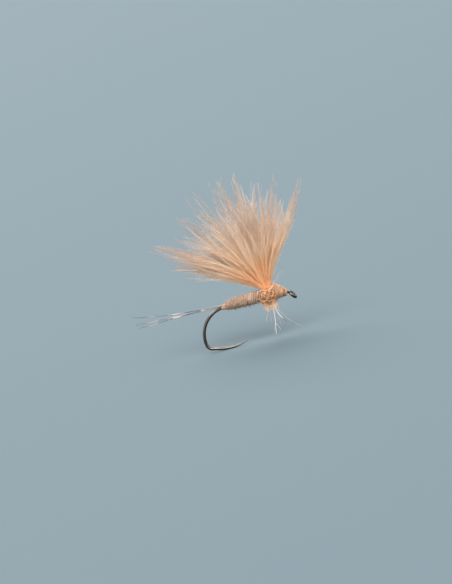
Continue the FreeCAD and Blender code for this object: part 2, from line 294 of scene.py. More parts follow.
class Finish:
    """A material under construction."""

    def __init__(self, name):
        self.material = bpy.data.materials.new(name)
        self.material.use_nodes = True
        self.tree = self.material.node_tree
        self.shader = self.tree.nodes["Principled BSDF"]
        self.output = self.tree.nodes["Material Output"]

    def node(self, kind, inputs=None, **values):
        """A node with its inputs fed, by name or number, and its settings made."""
        node = self.tree.nodes.new(kind)
        for name, value in values.items():
            setattr(node, name, value)
        for name, value in (inputs or {}).items():
            self.feed(value, node.inputs[name])
        return node

    def link(self, source, target):
        self.tree.links.new(source, target)

    def feed(self, value, socket):
        """Sets a socket to a number, a vector or a colour, or links another socket to it."""
        if isinstance(value, tuple):
            socket.default_value = value if socket.type == "VECTOR" else (*value, 1)
        elif isinstance(value, (int, float)):
            socket.default_value = value
        else:
            self.link(value, socket)

    def place(self, scale=(1, 1, 1), offset=(0, 0, 0)):
        """Object coordinates, moved and stretched for a pattern."""
        coordinates = self.node("ShaderNodeTexCoord").outputs["Object"]
        inputs = {"Vector": coordinates, "Location": offset, "Scale": scale}
        return self.node("ShaderNodeMapping", inputs).outputs["Vector"]

    def attribute(self, name):
        return self.node("ShaderNodeAttribute", attribute_name=name).outputs["Fac"]

    def noise(self, vector, scale, detail, roughness=0.5):
        inputs = {"Vector": vector, "Scale": scale, "Detail": detail, "Roughness": roughness}
        return self.node("ShaderNodeTexNoise", inputs).outputs["Fac"]

    def ramp(self, value, *stops):
        """A colour or grey ramp from (position, colour) stops."""
        node = self.node("ShaderNodeValToRGB", {"Fac": value})
        elements = node.color_ramp.elements
        while len(elements) < len(stops):
            elements.new(0.5)
        for element, (position, colour) in zip(elements, stops):
            element.position = position
            if isinstance(colour, (int, float)):
                colour = (colour,) * 3
            element.color = (*colour, 1)
        return node.outputs["Color"]

    def mix(self, share, first, second):
        """Blends two colours; the numbers are the mix node's factor and colour sockets."""
        return self.node("ShaderNodeMix", {0: share, 6: first, 7: second}, data_type="RGBA").outputs[2]

    def math(self, operation, first, second):
        return self.node("ShaderNodeMath", {0: first, 1: second}, operation=operation).outputs[0]

    def colour(self, source):
        self.link(source, self.shader.inputs["Base Color"])

    def bump(self, height, distance, strength):
        inputs = {"Height": height, "Distance": distance, "Strength": strength}
        normal = self.node("ShaderNodeBump", inputs).outputs["Normal"]
        self.link(normal, self.shader.inputs["Normal"])

    def let_light_through(self, share, colour):
        """Mixes in light that passes through thin fibres."""
        glow = self.node("ShaderNodeBsdfTranslucent", {"Color": colour}).outputs["BSDF"]
        inputs = {0: share, 1: self.shader.outputs["BSDF"], 2: glow}
        mixer = self.node("ShaderNodeMixShader", inputs)
        self.link(mixer.outputs["Shader"], self.output.inputs["Surface"])

    def set(self, **values):
        for name, value in values.items():
            self.shader.inputs[name.replace("_", " ")].default_value = value


def shade(colour, factor):
    return tuple(min(1, part * factor) for part in colour)


def bronze_finish(settings):
    """Dark bronzed wire, glossy, a little worn to warm metal in fine patches."""
    finish = Finish("bronzed_wire")
    place = finish.place()
    patches = finish.noise(place, 900, 5, 0.6)
    base = tuple(settings.bronze_colour)
    stops = ((0.35, shade(base, 0.75)), (0.62, base), (0.80, shade(base, 2.2)))
    finish.colour(finish.ramp(patches, *stops))
    grain = finish.noise(finish.place((1, 6, 6)), 2600, 3)
    finish.link(finish.ramp(grain, (0.3, 0.16), (0.75, 0.30)), finish.shader.inputs["Roughness"])
    finish.bump(grain, 0.000004, 0.4)
    finish.set(Metallic=1.0)
    return finish.material


def thread_finish(settings):
    """Waxed multi-filament thread: fine filaments, satin, darker where wax has gathered, with painted
    shade on the core under the turns (low tone), so the grooves between turns look shaded.
    """
    finish = Finish("waxed_thread")
    base = tuple(settings.colour)
    wax = finish.noise(finish.place(), 1400, 4, 0.6)
    filaments = finish.noise(finish.place((9, 1, 1)), 3000, 2)
    tint = finish.ramp(wax, (0.25, shade(base, 0.78)), (0.55, base), (0.8, shade(base, 1.25)))
    # Painted shade: points of low tone, the cores under the turns, are darkened towards 0.35 of the
    # thread colour, as shade in the grooves.
    painted_groove_shade = finish.ramp(finish.attribute("tone"), (0.0, 1.0), (0.45, 0.0))
    tint = finish.mix(painted_groove_shade, tint, shade(base, 0.35))
    finish.colour(finish.mix(finish.math("MULTIPLY", filaments, 0.45), tint, shade(base, 0.6)))
    finish.bump(filaments, 0.00001, 0.6)
    finish.set(Roughness=0.48, Sheen_Weight=0.25, Sheen_Roughness=0.4)
    return finish.material


def fur_finish(name, base, pale, depth):
    """Spun fur, finely mottled: fibres from the base colour darkened by depth up to the pale one. The
    dark end also colours the core under the fibres (tone 0), as painted shade in the gaps between them.
    """
    finish = Finish(name)
    mottle = finish.noise(finish.place(), 1800, 4, 0.65)
    tone = finish.attribute("tone")
    # At tone 0 this is painted shade on the core; darker fibres lean towards it at random.
    tint = finish.ramp(tone, (0.0, shade(base, depth)), (0.5, base), (1.0, pale))
    tint = finish.mix(finish.ramp(mottle, (0.35, 0.0), (0.75, 0.55)), tint, shade(base, 0.75))
    finish.colour(tint)
    finish.bump(mottle, 0.00002, 0.7)
    finish.set(Roughness=0.6, Sheen_Weight=0.15, Sheen_Roughness=0.5)
    finish.let_light_through(0.12, tint)
    return finish.material


def barb_finish(settings):
    """Dyed down: saturated at the root, paler and more see-through towards the tips."""
    finish = Finish("dyed_barbs")
    to_root = (0.0031, 0.0, -0.0011)
    wing_height = 0.0155
    reach = finish.node("ShaderNodeVectorMath", {0: finish.place(offset=to_root)}, operation="LENGTH")
    height = finish.math("MULTIPLY", reach.outputs["Value"], 1 / wing_height)
    streak = finish.math("SUBTRACT", finish.noise(finish.place(), 420, 3, 0.6), 0.5)
    height = finish.math("ADD", height, finish.math("MULTIPLY", streak, 0.35))
    tint = finish.ramp(
        height,
        (0.05, tuple(settings.root_colour)),
        (0.42, tuple(settings.middle_colour)),
        (0.84, tuple(settings.tip_colour)),
    )
    tone = finish.attribute("tone")
    pale = finish.ramp(tone, (0.55, 0.0), (1.0, 0.75))
    tint = finish.mix(pale, tint, (0.97, 0.88, 0.78))
    deep = finish.ramp(tone, (0.0, 0.25), (0.4, 0.0))
    tint = finish.mix(deep, tint, (0.95, 0.55, 0.30))
    finish.colour(tint)
    finish.set(Roughness=0.55, Sheen_Weight=0.2)
    finish.let_light_through(0.66, tint)
    return finish.material


def tail_finish(settings):
    """Barred hackle: uneven dark bars over paler, glossy fibre."""
    finish = Finish("barred_hackle")
    bars = finish.noise(finish.place((1, 0.25, 0.25)), 620, 2)
    bars = finish.math("ADD", bars, finish.math("MULTIPLY", finish.attribute("tone"), 0.12))
    dark = tuple(settings.tail_dark)
    pale = tuple(settings.tail_pale)
    tint = finish.ramp(bars, (0.44, dark), (0.56, shade(dark, 2.5)), (0.66, pale))
    near_root = finish.ramp(finish.attribute("along"), (0.20, 0.85), (0.34, 0.0))
    finish.colour(finish.mix(near_root, tint, shade(pale, 0.32)))
    finish.bump(finish.noise(finish.place((1, 8, 8)), 2500, 2), 0.000004, 0.5)
    finish.set(Roughness=0.28, Coat_Weight=0.2)
    return finish.material


def leg_finish(settings):
    """Pale stiff fibre, glossy, with a dark speck at some tips."""
    finish = Finish("pale_fibre")
    base = tuple(settings.leg_colour)
    cloud = finish.noise(finish.place(), 1500, 3)
    tint = finish.ramp(cloud, (0.3, shade(base, 0.82)), (0.7, base))
    dark_end = finish.math("MULTIPLY", finish.attribute("along"), finish.attribute("tone"))
    speck = finish.ramp(dark_end, (0.80, 0.0), (0.88, 1.0))
    finish.colour(finish.mix(speck, tint, (0.10, 0.05, 0.06)))
    finish.set(Roughness=0.3)
    finish.let_light_through(0.3, tint)
    return finish.material


def stem_finish(settings):
    """Dyed quill, pale and satin, with a long fine grain."""
    finish = Finish("dyed_quill")
    base = tuple(settings.tip_colour)
    grain = finish.noise(finish.place((4, 4, 1)), 1500, 3)
    finish.colour(finish.ramp(grain, (0.3, shade(base, 0.85)), (0.7, shade(base, 1.1))))
    finish.bump(grain, 0.000008, 0.5)
    finish.set(Roughness=0.4)
    return finish.material


def floor_finish(settings):
    """A matt floor, all but even."""
    finish = Finish("plain_floor")
    base = tuple(settings.floor_colour)
    cloud = finish.noise(finish.place(), 2, 1)
    finish.colour(finish.ramp(cloud, (0.2, shade(base, 0.985)), (0.8, base)))
    finish.set(Roughness=0.9, Specular_IOR_Level=0.1)
    return finish.material


# --- The pieces ---


class FLY_OT_hook(bpy.types.Operator):
    """Bends the bronzed wire: eye ring, neck, shank, bend, heel and bare point"""

    bl_idname = "fly.hook"
    bl_label = "Hook"

    SIDES = 28
    EYE_TURN = 54
    RING_RADIUS = 0.505
    RING_STEPS = 56
    NECK_LENGTH = 0.02
    SPEAR_LENGTH = 1.18
    # Each arc: radius, sweep in degrees and steps.
    NECK = (WIRE_RADIUS + 0.02, EYE_TURN, 12)
    BEND = (3.68, 100, 64)
    HEEL = (0.78, 68, 24)
    POINT = (6.4, 33, 14)
    TIP_RADIUS = 0.02
    # Above 1, the wire keeps its width for longer before it thins to the tip.
    TAPER_POWER = 1.3

    def execute(self, context):
        self.wire_radius = context.scene.fly_hook.wire_diameter / 2 / MM
        self.bm = bmesh.new()
        self.eye_ring()
        self.heading = 180 - self.EYE_TURN
        self.place = direction(self.heading) * self.RING_RADIUS
        turn = Matrix.Rotation(math.radians(90 - self.heading), 4, ACROSS)
        lie = Matrix.Translation(self.place) @ turn
        circle = bmesh.ops.create_circle(
            self.bm, cap_ends=True, segments=self.SIDES, radius=self.wire_radius, matrix=lie
        )
        self.edges = list({edge for vert in circle["verts"] for edge in vert.link_edges})
        self.straight(self.NECK_LENGTH)
        self.arc(*self.NECK)
        self.straight(SHANK_LENGTH)
        self.arc(*self.BEND)
        self.arc(*self.HEEL)
        self.straight(self.SPEAR_LENGTH)
        self.point()
        bmesh.ops.holes_fill(self.bm, edges=self.edges, sides=0)
        bmesh.ops.recalc_face_normals(self.bm, faces=self.bm.faces)
        seal(self.bm, "bronzed_hook", bronze_finish(context.scene.fly_hook), "hook_wire", "hook")
        return {"FINISHED"}

    def eye_ring(self):
        """The ring, whose axis looks up and forward."""
        axis = direction(90 - self.EYE_TURN)
        centre = -axis.cross(ACROSS) * self.RING_RADIUS
        lie = Matrix.Translation(centre) @ Matrix.Rotation(math.radians(90), 4, "X")
        circle = bmesh.ops.create_circle(
            self.bm, segments=self.SIDES, radius=self.wire_radius, matrix=lie
        )
        edges = list({edge for vert in circle["verts"] for edge in vert.link_edges})
        bmesh.ops.spin(
            self.bm, geom=circle["verts"] + edges, cent=(0, 0, 0), axis=axis, angle=math.tau,
            steps=self.RING_STEPS, use_merge=True,
        )

    def straight(self, length):
        """Carries the open end straight on."""
        step = direction(self.heading) * length
        made = bmesh.ops.extrude_edge_only(self.bm, edges=self.edges)["geom"]
        self.edges = [item for item in made if isinstance(item, bmesh.types.BMEdge)]
        verts = [item for item in made if isinstance(item, bmesh.types.BMVert)]
        self.edges = [edge for edge in self.edges if all(vert in verts for vert in edge.verts)]
        bmesh.ops.translate(self.bm, vec=step, verts=verts)
        self.place = self.place + step

    def arc(self, radius, sweep, steps):
        """Carries the open end round an arc."""
        centre = self.place + direction(self.heading + 90) * radius
        made = bmesh.ops.spin(
            self.bm, geom=self.end_verts() + self.edges, cent=centre, axis=-ACROSS,
            angle=math.radians(sweep), steps=steps,
        )["geom_last"]
        self.edges = [item for item in made if isinstance(item, bmesh.types.BMEdge)]
        self.heading += sweep
        self.place = centre - direction(self.heading + 90) * radius

    def point(self):
        """Bends the point up and thins it to the tip."""
        radius, sweep, steps = self.POINT
        thinning = self.TIP_RADIUS - self.wire_radius
        run = np.linspace(0, 1, steps + 1)
        sizes = self.wire_radius + thinning * run ** self.TAPER_POWER
        for old, new in zip(sizes, sizes[1:]):
            self.arc(radius, sweep / steps, 1)
            space = Matrix.Translation(-self.place)
            bmesh.ops.scale(self.bm, vec=(new / old,) * 3, space=space, verts=self.end_verts())

    def end_verts(self):
        return list({vert for edge in self.edges for vert in edge.verts})


def wave(rng, count, size):
    """A gentle random wander, the sum of a few slow swings."""
    share = np.linspace(0, 1, count)
    total = np.zeros(count)
    for turns in (0.7, 1.6, 2.9):
        total += np.sin(math.tau * (turns * share + rng.random())) * rng.normal() / turns
    return total * size


def lead(start, end, bow, count):
    """A path from start to end that bows out half way."""
    share = np.linspace(0, 1, count)[:, None]
    start = np.array(start, float)
    end = np.array(end, float)
    return start + (end - start) * share + np.array(bow, float) * (share * (1 - share) * 4)


class FLY_OT_tail(bpy.types.Operator):
    """Lays the six barred tail fibres"""

    bl_idname = "fly.tail"
    bl_label = "Tail fibres"

    # For each fibre: height and side of its tip from its root, its share of the length, its tone.
    FIBRES = (
        (0.40, -0.75, 0.97, 0.3),
        (-0.25, -0.50, 0.96, 0.5),
        (1.25, -0.35, 1.00, 0.1),
        (-0.40, 0.30, 0.95, 0.0),
        (1.05, 0.55, 0.98, 0.6),
        (0.25, 0.85, 0.98, 0.9),
    )
    ROOT_RING = 0.319
    ROOT_SPACING = 22
    RADII = (0.054, 0.018)
    # How far behind the shank's end the fibres come free, and how far their butts reach forward.
    FREE_AT = 0.15
    BUTT = 0.9
    POINTS = 44
    # How much a fibre wanders up and down, and to its sides.
    SWAY = (0.045, 0.05)
    SEED = 70

    def execute(self, context):
        length = context.scene.fly_hackle.tail_length / MM
        material = tail_finish(context.scene.fly_hackle)
        template = rod(8, 40)
        for number, (rise, side, share, tone) in enumerate(self.FIBRES):
            rng = np.random.default_rng(self.SEED + number)
            around = math.radians((number - 2.5) * self.ROOT_SPACING)
            y = self.ROOT_RING * math.sin(around)
            z = SHANK_HEIGHT + self.ROOT_RING * math.cos(around)
            root = np.array([SHANK_REAR - self.FREE_AT, y, z])
            tip = root + np.array([-length * share, side, rise])
            run = np.linspace(0, 1, self.POINTS)[:, None]
            middle = root - np.array([length * share / 2, 0, 0])
            path = root * (1 - run) ** 2 + middle * 2 * run * (1 - run) + tip * run ** 2
            path[:, 2] += wave(rng, self.POINTS, self.SWAY[0]) * run[:, 0]
            path[:, 1] += wave(rng, self.POINTS, self.SWAY[1]) * run[:, 0]
            path = np.vstack([root + np.array([self.BUTT, 0, 0]), path])
            bundle = Bundle()
            bundle.lay(template, path, tone, self.RADII)
            bundle.seal(f"barred_tail_{number + 1}", material, "tail_hackle", f"tail_fibre_{number + 1}")
        drop(template)
        return {"FINISHED"}


def winding(rear, front, radius_at, axis_at, pitch, rng, jitter, lean=0):
    """A helix round an axis: its points and its outward directions."""
    turns = (front - rear) / pitch
    count = int(turns * STEPS_PER_TURN) + 1
    share = np.linspace(0, 1, count)
    angle = share * turns * math.tau + rng.random() * math.tau
    along = rear + (front - rear) * share + wave(rng, count, jitter)
    radius = radius_at(share)
    outward = np.stack([np.zeros(count), np.sin(angle), np.cos(angle)], axis=1)
    path = outward * radius[:, None]
    path[:, 0] = along + np.cos(angle) * radius * lean
    return axis_at(path), axis_at(outward, turn_only=True)


def shank_axis(rise, slope=0, rear=0):
    """Lays points that run along X on the shank, or on a line that climbs off it from its rear."""

    def move(points, turn_only=False):
        if turn_only:
            return points
        moved = points.copy()
        moved[:, 2] += SHANK_HEIGHT + rise + slope * (points[:, 0] - rear)
        return moved

    return move


def head_axis(points, turn_only=False):
    """Lays points that run along X from 0 on the head's axis, which slopes down to the eye."""
    slope = math.radians(17)
    rear = np.array([-2.1, 0, SHANK_HEIGHT + 0.38])
    turned = points.copy()
    turned[:, 0] = points[:, 0] * math.cos(slope) + points[:, 2] * math.sin(slope)
    turned[:, 2] = points[:, 2] * math.cos(slope) - points[:, 0] * math.sin(slope)
    if turn_only:
        return turned
    return turned + rear


def turned_core(stations, axis_at):
    """A closed core turned about an axis from (distance, radius) stations."""
    bm = bmesh.new()
    verts = [bm.verts.new((x, 0, radius)) for x, radius in stations]
    edges = [bm.edges.new(pair) for pair in zip(verts, verts[1:])]
    bmesh.ops.spin(
        bm, geom=verts + edges, cent=(0, 0, 0), axis=(1, 0, 0), angle=math.tau,
        steps=CORE_SIDES, use_merge=True,
    )
    bmesh.ops.remove_doubles(bm, verts=bm.verts, dist=0.0001)
    bmesh.ops.recalc_face_normals(bm, faces=bm.faces)
    points = np.array([vert.co for vert in bm.verts])
    for vert, place in zip(bm.verts, axis_at(points)):
        vert.co = place
    return bm


class FLY_OT_thread(bpy.types.Operator):
    """Winds the thread: tail binding, head and whip finish"""

    bl_idname = "fly.thread"
    bl_label = "Thread"

    HEAD_LENGTH = 1.2
    # Radii of the head's core at its rear and front.
    HEAD_REAR, HEAD_FRONT = 0.985, 0.565
    # A few slanting turns cross the head: their pitch in turns below them, and their slant.
    CROSSING_PITCH, CROSSING_LEAN = 2.7, 0.12
    WHIP_GAP, WHIP_LENGTH = 0.012, 0.32
    # The tail binding: how far it reaches behind and ahead of the shank's rear end.
    TAIL_BEHIND, TAIL_AHEAD = 0.52, 0.15
    TAIL_PITCH = 0.09
    # Half of the laid thread's thickness and of its width, on the head and at the tail.
    LAID = (0.055, 0.070)
    LAID_TAIL = (0.03, 0.05)
    JITTER = 0.012
    SEED = 5

    def execute(self, context):
        self.material = thread_finish(context.scene.fly_thread)
        self.pitch = context.scene.fly_thread.pitch / MM
        self.rng = np.random.default_rng(self.SEED)
        self.head()
        self.whip_finish()
        self.tail_binding()
        return {"FINISHED"}

    def wind(self, bundle, rear, front, radii, axis_at, pitch, tone, lean=0, laid=LAID):
        """Lays one run of thread, low and wide."""
        path, outward = winding(
            rear, front, lambda share: radii[0] + (radii[1] - radii[0]) * share, axis_at, pitch,
            self.rng, self.JITTER, lean,
        )
        thickness, width = laid
        template = rod(8, max(24, len(path)))
        bundle.lay(template, path, tone, (width, width), outward, thickness / width)
        drop(template)

    def head(self):
        bundle = Bundle()
        length, rear, front = self.HEAD_LENGTH, self.HEAD_REAR, self.HEAD_FRONT
        stations = (
            (-0.25, 0), (-0.22, rear - 0.35), (-0.10, rear - 0.12), (0.05, rear - 0.02),
            (length - 0.04, front), (length, front - 0.05), (length, 0),
        )
        # The core's tone 0 paints it dark, as shade in the grooves between turns.
        bundle.add_solid(turned_core(stations, head_axis), 0.0)
        self.wind(bundle, 0.0, length, (rear, front + 0.02), head_axis, self.pitch, 0.5)
        self.wind(
            bundle, 0.1, length - 0.1, (rear + 0.02, front + 0.05), head_axis,
            self.pitch * self.CROSSING_PITCH, 0.7, self.CROSSING_LEAN,
        )
        bundle.seal("thread_head", self.material, "tying_thread", "head_thread")

    def whip_finish(self):
        bundle = Bundle()
        start = self.HEAD_LENGTH + self.WHIP_GAP
        end = start + self.WHIP_LENGTH
        stations = ((start, 0), (start, 0.50), (end - 0.05, 0.44), (end, 0.38), (end, 0))
        # The core's tone 0 paints it dark, as shade in the grooves between turns.
        bundle.add_solid(turned_core(stations, head_axis), 0.0)
        radii = (0.51, 0.44)
        self.wind(bundle, start + 0.02, end - 0.02, radii, head_axis, self.pitch * 0.9, 0.6)
        bundle.seal("thread_whip_finish", self.material, "tying_thread", "whip_finish")

    def tail_binding(self):
        bundle = Bundle()
        axis = shank_axis(0)
        rear = SHANK_REAR - self.TAIL_BEHIND
        front = SHANK_REAR + self.TAIL_AHEAD
        stations = ((rear, 0.18), (rear, 0.24), (front, 0.39), (front, 0.18), (rear, 0.18))
        # The core's tone 0.3 paints it a third of the way to dark, as shade between turns.
        bundle.add_solid(turned_core(stations, axis), 0.3)
        radii = (0.25, 0.40)
        self.wind(
            bundle, rear + 0.02, front - 0.02, radii, axis, self.TAIL_PITCH, 0.5, laid=self.LAID_TAIL
        )
        bundle.seal("thread_tail_binding", self.material, "tying_thread", "tail_binding")


class FLY_OT_abdomen(bpy.types.Operator):
    """Winds the slim abdomen of spun fur, with loose hairs"""

    bl_idname = "fly.abdomen"
    bl_label = "Abdomen"

    REAR = -8.95
    FRONT = -4.35
    RADII = (0.52, 0.68)
    # How much the rear end is pinched in, and how fast that fades.
    PINCH = 0.20
    PINCH_FADE = 7
    # Its axis climbs off the shank's.
    RISE = 0.10
    SLOPE = 0.033
    STRAND_RADIUS = 0.137
    STRAND_LEAN = 0.30
    STRAND_JITTER = 0.04
    # Hairs that lie along the turns, hairs that stand off, and the radii of both.
    LYING = 130
    STANDING = 420
    LYING_RADII = (0.024, 0.012)
    STANDING_RADII = (0.020, 0.008)
    HAIR_POINTS = 9
    SEED = 21

    def radius_at(self, share):
        start, end = self.RADII
        pinch = self.PINCH * np.exp(-np.asarray(share) * self.PINCH_FADE)
        return start + (end - start) * np.clip(share, 0, 1) - pinch

    def execute(self, context):
        settings = context.scene.fly_body
        rng = np.random.default_rng(self.SEED)
        self.axis = shank_axis(self.RISE, self.SLOPE, self.REAR)
        bundle = Bundle()
        length = self.FRONT - self.REAR
        stations = [(self.REAR + length * s, self.radius_at(s) - 0.05) for s in np.linspace(0, 1, 30)]
        stations = [(self.REAR, 0)] + stations + [(self.FRONT, 0)]
        # The core's tone 0 paints it dark, as shade in the grooves between turns.
        bundle.add_solid(turned_core(stations, self.axis), 0.0)
        path, outward = winding(
            self.REAR + 0.05, self.FRONT, self.radius_at, self.axis, settings.turn_pitch / MM, rng,
            self.STRAND_JITTER, self.STRAND_LEAN,
        )
        strand = rod(10, len(path))
        bundle.lay(strand, path, 0.6, (self.STRAND_RADIUS, self.STRAND_RADIUS), outward)
        hair = rod(3, 8)
        for number in range(self.LYING + self.STANDING):
            standing = number >= self.LYING
            tone = rng.random() ** 2 if number % 2 else 1 - 0.5 * rng.random()
            radii = self.STANDING_RADII if standing else self.LYING_RADII
            bundle.lay(hair, self.hair_path(rng, standing), tone, radii)
        base = tuple(settings.abdomen_colour)
        # 0.35 sets the core's painted shade, as a share of the abdomen colour.
        material = fur_finish("abdomen_fur", base, shade(base, 1.55), 0.35)
        bundle.seal("fur_abdomen", material, "body_dubbing", "abdomen_dubbing")
        drop(strand, hair)
        return {"FINISHED"}

    def hair_path(self, rng, standing):
        """A hair wound with the turns, that may lift off at its end."""
        share = rng.random()
        x = self.REAR + 0.1 + (self.FRONT - self.REAR - 0.1) * share
        angle = rng.random() * math.tau
        length = rng.uniform(0.5, 1.3)
        run = np.linspace(0, 1, self.HAIR_POINTS)
        radius = self.radius_at(share) + 0.12 + rng.uniform(0, 0.03)
        slant = rng.normal(0.18, 0.22)
        lift = run ** 2 * (rng.uniform(0.1, 0.42) if standing else rng.uniform(-0.02, 0.05))
        swept = angle + run * length / radius * math.cos(slant) * (0.45 if standing else 1)
        reach = radius + lift + wave(rng, self.HAIR_POINTS, 0.01)
        forward = x + run * length * math.sin(slant)
        return self.axis(np.stack([forward, reach * np.sin(swept), reach * np.cos(swept)], axis=1))


class FLY_OT_thorax(bpy.types.Operator):
    """Builds the rough ball of coarse curled fur round the wing's root"""

    bl_idname = "fly.thorax"
    bl_label = "Thorax"

    # The ball and a small lump behind the head: the middle of each, half of its length, width and
    # height, and its share of the fibres.
    LUMPS = (
        ((-3.18, 0.0, 0.64), (1.10, 0.90, 0.94), 0.78),
        ((-2.46, 0.0, 1.50), (0.50, 0.55, 0.44), 0.22),
    )
    # How far the curls stand off a lump, as a share of its size.
    CURL_DEPTH = 0.46
    # Points along a coarse and a fine fibre.
    COARSE_POINTS = 28
    FINE_POINTS = 11
    # Numbers and radii of fine hairs, of wisps that hang below and of strays that rise in front.
    FINE, FINE_RADII = 220, (0.014, 0.006)
    WISPS, WISP_RADII = 150, (0.013, 0.006)
    STRAYS, STRAY_RADII = 9, (0.008, 0.004)
    SEED = 33

    def execute(self, context):
        settings = context.scene.fly_body
        rng = np.random.default_rng(self.SEED)
        bundle = Bundle()
        coarse = rod(5, 26)
        fine = rod(3, 10)
        for middle, size, part in self.LUMPS:
            self.middle, self.size = np.array(middle), np.array(size)
            # The core's tone 0 paints it dark, as shade in the gaps between curls.
            bundle.add_solid(self.core(), 0.0)
            for _ in range(round(settings.curly_fibres * part)):
                width = rng.uniform(0.034, 0.054)
                length, bend = rng.uniform(1.2, 3.2), rng.uniform(1.5, 5.0)
                path = self.curl_path(rng, self.COARSE_POINTS, length, bend)
                bundle.lay(coarse, path, rng.uniform(0.45, 1), (width, width / 2))
            for _ in range(round(self.FINE * part)):
                path = self.curl_path(rng, self.FINE_POINTS, rng.uniform(0.6, 1.5), rng.uniform(0, 2))
                bundle.lay(fine, path, 0.6 * rng.random(), self.FINE_RADII)
        for _ in range(self.WISPS):
            bundle.lay(fine, self.wisp_path(rng), 1.0, self.WISP_RADII)
        for _ in range(self.STRAYS):
            bundle.lay(fine, self.stray_path(rng), 0.7, self.STRAY_RADII)
        base = tuple(settings.thorax_colour)
        # 0.20 sets the cores' painted shade, as a share of the thorax colour.
        material = fur_finish("thorax_fur", base, tuple(settings.curl_colour), 0.20)
        bundle.seal("fur_thorax", material, "thorax_dubbing", "thorax_dubbing")
        drop(coarse, fine)
        return {"FINISHED"}

    def core(self):
        """The lumpy inside of a lump."""
        bm = bmesh.new()
        bmesh.ops.create_icosphere(bm, subdivisions=5, radius=1)
        for vert in bm.verts:
            vert.co *= 1 + noise.noise(vert.co * 2.8) * 0.10 + noise.noise(vert.co * 8) * 0.05
        bmesh.ops.scale(bm, vec=self.size, verts=bm.verts)
        bmesh.ops.translate(bm, vec=self.middle, verts=bm.verts)
        return bm

    def curl_path(self, rng, count, length, bend):
        """A fibre that curls one way and the other as it lies over the lump."""
        size = self.size
        outward = unit(rng.normal(size=3))
        heading = unit(np.cross(outward, rng.normal(size=3)))
        phase = np.linspace(0, rng.uniform(2.0, 5.0), count) + rng.random() * math.tau
        swing = bend * np.cos(phase)
        path = []
        place = outward * size * rng.uniform(1.0, 1.25)
        step = length / (count - 1)
        for turning in swing:
            path.append(place.copy())
            outward = unit(place / size ** 2)
            heading = unit(heading - outward * (heading @ outward) + outward * rng.normal(0.08, 0.46))
            side = np.cross(outward, heading)
            heading = unit(heading + side * (turning * step + rng.normal(0, 0.2)))
            place = place + heading * step
            reach = np.linalg.norm(place / size)
            place = place * (np.clip(reach, 1, 1 + self.CURL_DEPTH) / reach)
        return np.array(path) + self.middle

    def wisp_path(self, rng):
        """A loose hair that hangs under the ball, longer towards the head."""
        across = rng.uniform(-0.80, 0.75)
        start = np.array(self.LUMPS[0][0]) + np.array([across, rng.normal(0, 0.35), -0.62])
        length = rng.uniform(0.6, 1.5) + 0.5 * (across + 0.80) * rng.random()
        lean = rng.normal(0.05, 0.20)
        end = start + np.array([length * math.sin(lean), rng.normal(0, 0.3), -length * math.cos(lean)])
        return lead(start, end, (rng.normal(0, 0.16), rng.normal(0, 0.12), 0), self.FINE_POINTS)

    def stray_path(self, rng):
        """A faint hair that rises in front of the wing's root."""
        start = np.array(self.LUMPS[1][0]) + np.array([0.2, rng.normal(0, 0.2), 0.2])
        lean = math.radians(rng.uniform(35, 85))
        length = rng.uniform(1.2, 2.8)
        end = start + np.array([math.cos(lean), rng.normal(0, 0.15), math.sin(lean)]) * length
        return lead(start, end, (rng.normal(0, 0.15), 0, rng.normal(0, 0.15)), self.FINE_POINTS)


class FLY_OT_legs(bpy.types.Operator):
    """Lays the six pale leg fibres"""

    bl_idname = "fly.legs"
    bl_label = "Leg fibres"

    # For each fibre: its tip from its root, its bow, its thickness and how dark its tip is.
    FIBRES = (
        ((-1.30, -1.10, -2.80), (0.15, 0, 0.1), 0.015, 0.1),
        ((-0.40, -0.70, -4.70), (0.16, 0, 0.0), 0.060, 0.1),
        ((1.28, -0.55, -3.42), (-0.22, 0, -0.30), 0.056, 1.0),
        ((3.12, 0.60, -4.80), (-0.45, 0, -0.4), 0.013, 0.1),
        ((0.30, 0.95, -4.10), (0.10, 0, 0.0), 0.015, 0.1),
        ((-0.85, 1.25, -3.40), (-0.10, 0, 0.1), 0.014, 0.1),
    )
    ROOT = (-2.85, 0.0, 0.30)
    POINTS = 26
    SWAY = 0.03
    # The fibre that forks: its number from 0, where it forks and how far its ends spread.
    FORKED = 1
    FORK_AT = -8
    FORK_SPREADS = (-0.32, 0.42)
    SEED = 90

    def execute(self, context):
        material = leg_finish(context.scene.fly_hackle)
        template = rod(7, 24)
        for number, (reach, bow, size, dark) in enumerate(self.FIBRES):
            rng = np.random.default_rng(self.SEED + number)
            path = lead(self.ROOT, np.array(self.ROOT) + np.array(reach), bow, self.POINTS)
            path[:, 0] += wave(rng, self.POINTS, self.SWAY)
            bundle = Bundle()
            bundle.lay(template, path, dark, (size, size * (0.5 + 0.25 * dark)))
            if number == self.FORKED:
                fork = path[self.FORK_AT]
                for spread in self.FORK_SPREADS:
                    branch = lead(fork, fork + np.array([spread, 0.1, -1.0]), (spread * 0.2, 0, 0), 12)
                    bundle.lay(template, branch, dark, (size * 0.5, size * 0.25))
            bundle.seal(f"pale_leg_{number + 1}", material, "leg_hackle", f"leg_fibre_{number + 1}")
        drop(template)
        return {"FINISHED"}


class FLY_OT_wing_stems(bpy.types.Operator):
    """Finishes the five feather stems and the inner thread"""

    bl_idname = "fly.wing_stems"
    bl_label = "Feather stems and inner thread"

    def execute(self, context):
        quill = stem_finish(context.scene.fly_wing)
        for number in range(1, 6):
            self.finish(f"wing_stem_{number}", quill)
        # These parts have no tone attribute, which reads as 0, so the thread's painted groove shade
        # darkens them all over.
        thread = thread_finish(context.scene.fly_thread)
        for name in ("thread_foundation", "wing_binding"):
            self.finish(name, thread)
        return {"FINISHED"}

    def finish(self, name, material):
        """Gives a piece that keeps its CAD shape its material."""
        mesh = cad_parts[name].data
        if mesh.materials:
            mesh.materials[0] = material
        else:
            mesh.materials.append(material)


